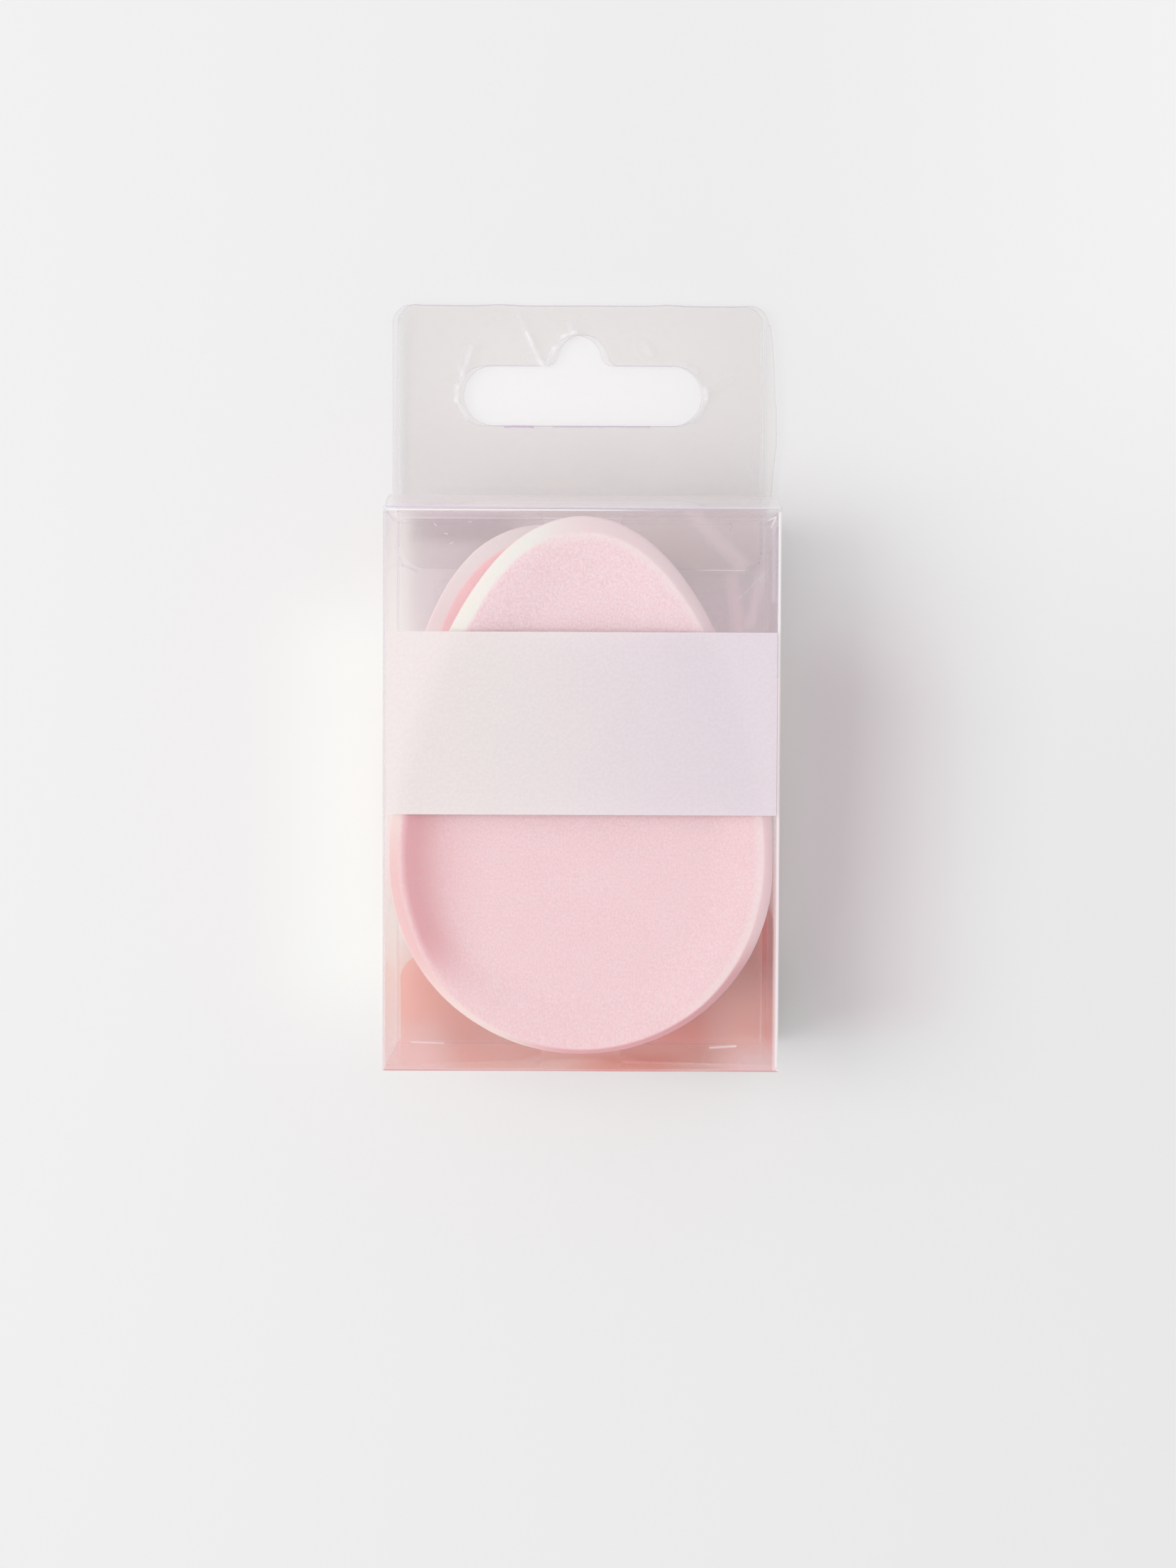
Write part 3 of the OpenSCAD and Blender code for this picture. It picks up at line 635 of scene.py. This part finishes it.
# Carton film, by panel: marks are painted where the photograph shows creases catching the light
lilac = srgb(196, 184, 226)
frontMarks = [
    dict(start=(-24.6, 35.5), end=(24.6, 35.36), wide=0.12, strength=0.34, color=lilac),
    dict(start=(-24.2, 35.16), end=(24.2, 35.16), wide=0.15, strength=0.65, fade=(0.45, 0.8)),
    dict(start=(24.82, 34.9), end=(24.82, -35.2), wide=0.32, strength=0.7),
    dict(start=(24.55, 14.0), end=(24.5, -35.2), wide=0.4, strength=0.33, color=srgb(252, 226, 228)),
    dict(start=(24.05, 34.0), end=(24.1, 24.0), wide=0.5, strength=0.18, color=srgb(232, 212, 236)),
    dict(start=(-24.85, 35.2), end=(-24.85, -35.2), wide=0.16, strength=0.12),
    dict(start=(-24.5, 34.9), end=(-23.7, 33.7), wide=0.12, strength=0.3, color=lilac),
    dict(start=(24.3, 34.4), end=(23.4, 34.0), wide=0.16, strength=0.35),
    dict(start=(24.3, 34.4), end=(23.7, 33.1), wide=0.16, strength=0.25),
    dict(start=(-24.8, -35.45), end=(24.8, -35.45), wide=0.12, strength=0.35, color=srgb(214, 150, 158)),
    # Specks and a hair that lie on the film
    dict(start=(-18.6, 33.4), end=(-18.3, 33.1), wide=0.09, strength=0.35),
    dict(start=(-17.3, 32.2), end=(-16.9, 32.1), wide=0.08, strength=0.35),
    dict(start=(-20.6, 32.7), end=(-20.5, 32.6), wide=0.09, strength=0.4),
    dict(start=(-14.3, 33.6), end=(-13.9, 33.7), wide=0.08, strength=0.35),
    dict(start=(-16.6, 30.9), end=(-16.2, 31.1), wide=0.08, strength=0.35),
    dict(start=(18.45, 33.75), end=(18.75, 33.2), wide=0.06, strength=0.25, color=srgb(120, 100, 110)),
    dict(start=(18.75, 33.2), end=(18.5, 32.6), wide=0.06, strength=0.25, color=srgb(120, 100, 110)),
    # The lid's tuck and the creases behind glint through
    dict(start=(20.3, 27.7), end=(12.9, 27.75), wide=0.12, strength=0.22, fade=(0.5, 1.0)),
    dict(start=(23.6, 28.1), end=(19.8, 24.2), wide=0.16, strength=0.07),
    # Broad faint painted reflections slant in streaks across the upper right
    dict(start=(14.0, 34.6), end=(20.0, 28.4), wide=1.7, strength=0.13, color=srgb(255, 205, 215)),
    dict(start=(18.8, 26.6), end=(20.6, 15.0), wide=1.5, strength=0.1, color=srgb(255, 200, 210)),
    dict(start=(22.4, 27.0), end=(21.2, 21.0), wide=1.2, strength=0.1, color=srgb(255, 226, 236)),
    # The bottom's flaps glint at the lower corners
    dict(start=(-21.4, -31.9), end=(-17.3, -32.05), wide=0.2, strength=0.2),
    dict(start=(16.4, -32.5), end=(19.6, -32.3), wide=0.28, strength=0.22),
]
backMarks = [
    dict(start=(24.2, 35.4), end=(24.2, 31.2), wide=0.3, strength=0.18, color=lilac),
    dict(start=(24.2, 31.2), end=(23.9, 29.9), wide=0.28, strength=0.13, color=lilac),
    dict(start=(23.9, 29.9), end=(22.6, 28.9), wide=0.26, strength=0.13, color=lilac),
    dict(start=(-24.8, 35.4), end=(-24.8, 32.0), wide=0.25, strength=0.16, color=lilac),
    dict(start=(-24.8, 30.6), end=(-24.3, 29.4), wide=0.24, strength=0.14, color=lilac),
    dict(start=(-24.3, 29.4), end=(-22.4, 28.6), wide=0.24, strength=0.12, color=lilac),
]
# Painted reflections of the pink foam tint the lower end of the film, and painted shade dulls the upper end
lowerEnd = ("Y", -16.0, -28.0)
salmonReflection = dict(color=srgb(255, 195, 182), tint=(1.0, 0.865, 0.845, 1.0), strength=0.13)
# These tints redden what shows through, a painted reflection of the pink foam, and darken it a little, most
# at the left, as painted shade
roseLeft = dict(tint=(0.82, 0.72, 0.71, 1.0), limits=(lowerEnd, ("X", -25.0, -15.0), ("X", -1.0, -7.0)))
roseRight = dict(tint=(1.0, 0.7, 0.7, 1.0), limits=(lowerEnd, ("X", 24.0, 13.0), ("X", 1.0, 7.0)))
roseSide = dict(tint=(1.0, 0.68, 0.66, 1.0),
                limits=(("Y", -11.0, -18.0), ("Y", -35.0, -27.0), ("X", 9.0, 16.0)))
roseGap = dict(tint=(0.92, 0.72, 0.73, 1.0), limits=(("Y", -32.0, -34.5), ("X", -6.0, -4.5), ("X", 6.0, 4.5)))
bottomGap = dict(tint=(0.98, 0.79, 0.765, 1.0), limits=(("X", -8.0, -3.5), ("X", 8.0, 3.5)))
footRose = dict(tint=(0.985, 0.85, 0.82, 1.0),
                limits=(("X", -4.0, 5.0), ("X", 16.0, 8.0), ("Y", -32.5, -34.6)))
# Pale pink painted reflections of the foam on the walls and the bottom
blushReflection = dict(color=srgb(255, 220, 212), tint=(1.0, 0.93, 0.915, 1.0), strength=0.09)
bottomBlushReflection = dict(blushReflection, tint=(1.0, 0.83, 0.805, 1.0), strength=0.1)
wallBlushReflection = dict(blushReflection, limits=(("Y", 4.0, -20.0),))
peachReflection = dict(color=srgb(255, 232, 226), tint=(1.0, 0.955, 0.94, 1.0), strength=0.08,
             limits=(("Y", -4.0, -16.0),))
# Painted sheen at the top of the right wall and on the lid
wallPaleSheen = dict(color=srgb(248, 237, 247), strength=0.14, limits=(("Y", 6.0, 18.0),))
lidPaleSheen = dict(color=srgb(252, 248, 252), strength=0.2)
# Painted shade behind the lid's tuck flap and at the upper left of the back
dusk = dict(color=srgb(140, 122, 136), strength=0.085)
tuckDusk = dict(dusk, limits=(("X", -25.4, -22.2), ("X", -2.0, -12.0)))
upperDusk = dict(dusk, strength=0.09, limits=(("Y", 31.2, 33.6), ("X", -25.4, -20.8), ("X", -2.0, -12.0)))
backDusk = dict(dusk, strength=0.1, limits=(("Y", 12.0, 27.0), ("Y", 37.0, 35.0), ("X", -25.4, -22.2),
                                            ("X", -2.0, -12.0)))
mauve = dict(color=srgb(206, 180, 194), tint=(0.995, 0.955, 0.98, 1.0), strength=0.015,
             limits=(("Y", 4.0, 16.0), ("X", -25.5, -19.0)))
# Painted sheen on the front panel: rosy at the upper right, pink and pale at the lower corners
rosySheen = dict(color=srgb(252, 204, 225), strength=0.08,
                 limits=(("X", 6.0, 18.0), ("Y", 2.0, 14.0), ("Y", 30.0, 24.0)))
cornerSheen = dict(color=srgb(250, 192, 184), strength=0.15, limits=(("X", 14.0, 21.0), ("Y", -20.0, -29.0)))
paleCornerSheen = dict(color=srgb(244, 214, 218))
paleLeftSheen = dict(paleCornerSheen, strength=0.24, limits=(("Y", -28.0, -34.0), ("X", -14.0, -21.0)))
paleRightSheen = dict(paleCornerSheen, strength=0.17, limits=(("Y", -30.0, -34.5), ("X", 15.0, 22.0)))
# Painted pink in what the right wall and the bottom mirror, a painted reflection of the foam, and where the
# right wall lets less light through
wallGleams = (("Y", -6.0, -14.0, srgb(255, 140, 130)), ("Y", -26.0, -33.0, srgb(255, 184, 176)))
bottomGleams = (("Y", 0.0, -30.0, srgb(255, 236, 226)),)
wallDims = ((0.42, "Y", -20.0, -29.0), (0.2, "Y", 20.0, 30.0))
smoothFilm = 0.00001


dress("front_panel", filmMaterial("frontFilm", strokes=frontMarks, rim=0.2, wobble=0.00012,
                                  glows=[rosySheen, cornerSheen, paleLeftSheen, paleRightSheen, footRose]))
dress("left_side_panel", filmMaterial("leftWallFilm", face="X", graze=0.4, wobble=smoothFilm, glows=[peachReflection]))
dress("right_side_panel", filmMaterial("rightWallFilm", face="X", wobble=smoothFilm, dims=wallDims,
                                       gleams=wallGleams, glows=[wallBlushReflection, wallPaleSheen]))
dress("glue_flap", filmMaterial("glueFilm", face="X", wobble=smoothFilm))
dress("back_panel", filmMaterial("backFilm", strokes=backMarks, glows=[
    dict(salmonReflection, limits=(lowerEnd,)), roseLeft, roseRight, roseSide, roseGap, mauve, backDusk]))
dress("lid_panel", filmMaterial("lidFilm", face="Y", wobble=0.00002, glows=[lidPaleSheen]))
dress("lid_tuck_flap", filmMaterial("lidTuckFilm", glows=[tuckDusk, upperDusk]))
for side in ("left", "right"):
    for end, endGlows in (("top", ()), ("bottom", [blushReflection])):
        dress("%s_%s_dust_flap" % (end, side), filmMaterial("%sDustFilm.%s" % (end, side), face="Y", rim=0.15,
                                                            graze=0.4, wobble=smoothFilm, glows=endGlows))
dress("bottom_panel", filmMaterial("bottomFilm", face="Y", graze=0.6, wobble=smoothFilm, gleams=bottomGleams,
                                   glows=[bottomBlushReflection, bottomGap]))
dress("bottom_tuck_flap", filmMaterial("bottomTuckFilm", glows=[salmonReflection], rimColor=srgb(246, 220, 212)))


# Printed band: white ink on the film, a little lilac to the right, bare of words
bandLook = dict(
    left=srgb(248, 239, 238), right=srgb(240, 228, 236), turnRun=(-14.0, 30.0),
    sway=14.0, swayScale=60.0, swayDetail=3.0,
    cover=0.86, grain=0.04, grainScale=2400.0, rough=0.3, clear=(0.98, 0.96, 0.97, 1.0),
)
# The back's print shows only as a trace of ink
patchLook = dict(
    ink=srgb(240, 238, 242), cover=(0.02, 0.05), grainScale=1800.0, rough=0.4,
    clear=(0.998, 0.996, 0.998, 1.0),
)
grainRun = (0.3, 0.7)
grainDetail = 2.0


def finishInk(tree, cover, color, look):
    ink = addNode(tree, "BsdfPrincipled", {"Base Color": color, "Roughness": look["rough"]})
    through = addNode(tree, "BsdfTransparent", {"Color": look["clear"]})
    finishMaterial(tree, mixShader(tree, cover, through, ink))


def bandMaterial(look):
    made, tree = newMaterial("bandInk")
    spot, place = objectPlace(tree)
    cloud = addNode(tree, "TexNoise", {"Vector": spot, "Scale": look["swayScale"],
                                       "Detail": look["swayDetail"]})
    fine = addNode(tree, "TexNoise", {"Vector": spot, "Scale": look["grainScale"], "Detail": grainDetail})
    sway = calc(tree, "MULTIPLY_ADD", cloud.outputs[0], look["sway"], place[0])
    color = blendColor(tree, ramp(tree, sway, *look["turnRun"]), look["left"], look["right"])
    cover = calc(tree, "MULTIPLY_ADD", ramp(tree, fine.outputs[0], *grainRun), look["grain"], look["cover"])
    finishInk(tree, cover, color, look)
    return made


def patchMaterial(look):
    made, tree = newMaterial("patchInk")
    spot = objectPlace(tree)[0]
    fine = addNode(tree, "TexNoise", {"Vector": spot, "Scale": look["grainScale"], "Detail": grainDetail})
    cover = ramp(tree, fine.outputs[0], *grainRun, *look["cover"])
    cover = calc(tree, "MULTIPLY", cover, calc(tree, "SUBTRACT", 1.0, lightOnly(tree)))
    finishInk(tree, cover, look["ink"], look)
    return made


dress("front_band", bandMaterial(bandLook))
dress("back_patch", patchMaterial(patchLook))
print("carton film and prints dressed")


# Floor, lamp and surroundings
studio = dict(
    floorSize=12.0, floorSides=96, floorLow=-0.0003, floorRough=0.9,
    floorColor=srgb(242, 242, 242), floorFar=srgb(240, 240, 240), farRun=(-60.0, 120.0), farSlant=0.5,
    cloud=30.0, cloudScale=12.0, cloudDetail=2.0,
    # The left wall throws a little light back beside the pack
    bounce=srgb(247, 252, 249),
    bounceZone=(("X", -50.0, -29.0), ("X", -22.0, -25.0), ("Y", 34.0, 16.0), ("Y", -42.0, -22.0)),
    # Light that has passed the sponges lies faintly pink in the shadow
    spill=srgb(240, 235, 238),
    spillZone=(("X", 28.0, 34.0), ("X", 56.0, 42.0), ("Y", 32.0, 12.0), ("Y", -37.0, -30.0)),
    # Painted light brightens the floor through the hang hole and off to the upper right
    bright=srgb(250, 250, 250), holeAcross=(27.0, 8.0, 0.0, 0.8),
    holeZone=(("Y", 41.0, 52.0), ("Y", 70.0, 57.0)), asideZone=(("X", 10.0, 90.0), ("Y", 0.0, 70.0)),
    lampTilt=50.0, lampSpin=180.0, lampReach=1.4, lampWide=0.8, lampTall=0.8, lampPower=8.6,
    skyLight=0.66, skyShown=0.9, roomNear=150.0, roomFar=560.0, clearBounces=40,
)


def floorPaper(s):
    made, tree = newMaterial("floorPaper")
    spot, place = objectPlace(tree)
    x, y = place[:2]
    cloud = addNode(tree, "TexNoise", {"Vector": spot, "Scale": s["cloudScale"], "Detail": s["cloudDetail"]})
    slant = calc(tree, "MULTIPLY_ADD", x, s["farSlant"], calc(tree, "MULTIPLY", y, -1.0))
    slant = calc(tree, "MULTIPLY_ADD", cloud.outputs[0], s["cloud"], slant)
    color = blendColor(tree, ramp(tree, slant, *s["farRun"]), s["floorColor"], s["floorFar"])
    color = blendColor(tree, zoneOf(tree, place, s["bounceZone"]), color, s["bounce"])
    color = blendColor(tree, zoneOf(tree, place, s["spillZone"]), color, s["spill"])
    hole = ramp(tree, calc(tree, "ABSOLUTE", x), *s["holeAcross"])
    hole = zoneOf(tree, place, s["holeZone"], hole)
    bright = calc(tree, "ADD", hole, zoneOf(tree, place, s["asideZone"]))
    color = blendColor(tree, clamped(tree, bright), color, s["bright"])
    paper = addNode(tree, "BsdfPrincipled", {"Base Color": color, "Roughness": s["floorRough"],
                                             "Specular IOR Level": 0.0})
    # Far off, where no light of the scene reaches, the eye sees the tone of the room
    away = calc(tree, "SQRT", calc(tree, "MULTIPLY_ADD", x, x, calc(tree, "MULTIPLY", y, y)))
    room = addNode(tree, "Emission", {"Color": (1, 1, 1, 1), "Strength": s["skyShown"]})
    eye = addNode(tree, "LightPath").outputs["Is Camera Ray"]
    far = calc(tree, "MULTIPLY", eye, ramp(tree, away, s["roomNear"], s["roomFar"]))
    finishMaterial(tree, mixShader(tree, far, paper, room))
    return made


def layFloor(s):
    ground = bmesh.new()
    bmesh.ops.create_circle(ground, cap_ends=True, segments=s["floorSides"], radius=s["floorSize"] / 2)
    bmesh.ops.translate(ground, verts=ground.verts[:], vec=(0, 0, s["floorLow"]))
    mesh = bpy.data.meshes.new("floor")
    ground.to_mesh(mesh)
    ground.free()
    floor = bpy.data.objects.new("floor", mesh)
    scene.collection.objects.link(floor)
    mesh.materials.append(floorPaper(s))


def hangLamp(s):
    lamp = bpy.data.lights.new("softbox", "AREA")
    lamp.shape = "RECTANGLE"
    lamp.size = s["lampWide"]
    lamp.size_y = s["lampTall"]
    lamp.energy = s["lampPower"]
    holder = bpy.data.objects.new("softbox", lamp)
    scene.collection.objects.link(holder)
    tilt, spin = math.radians(s["lampTilt"]), math.radians(s["lampSpin"])
    toLamp = Vector((math.cos(tilt) * math.cos(spin), math.cos(tilt) * math.sin(spin), math.sin(tilt)))
    holder.location = toLamp * s["lampReach"]
    holder.rotation_euler = toLamp.to_track_quat("Z", "Y").to_euler()


def hangSky(s):
    sky = bpy.data.worlds.new("paleRoom")
    scene.world = sky
    sky.use_nodes = True
    tree = sky.node_tree
    tree.nodes.clear()
    path = addNode(tree, "LightPath")
    seen = calc(tree, "MAXIMUM", path.outputs["Is Camera Ray"],
                calc(tree, "MAXIMUM", path.outputs["Is Glossy Ray"], path.outputs["Is Transmission Ray"]))
    light = addNode(tree, "Background", {"Color": (1, 1, 1, 1), "Strength": s["skyLight"]})
    shown = addNode(tree, "Background", {"Color": (1, 1, 1, 1), "Strength": s["skyShown"]})
    output = addNode(tree, "OutputWorld")
    tree.links.new(mixShader(tree, seen, light, shown).outputs[0], output.inputs["Surface"])


layFloor(studio)
hangLamp(studio)
hangSky(studio)
scene.view_settings.view_transform = "Standard"
scene.cycles.transparent_max_bounces = studio["clearBounces"]
print("studio set")
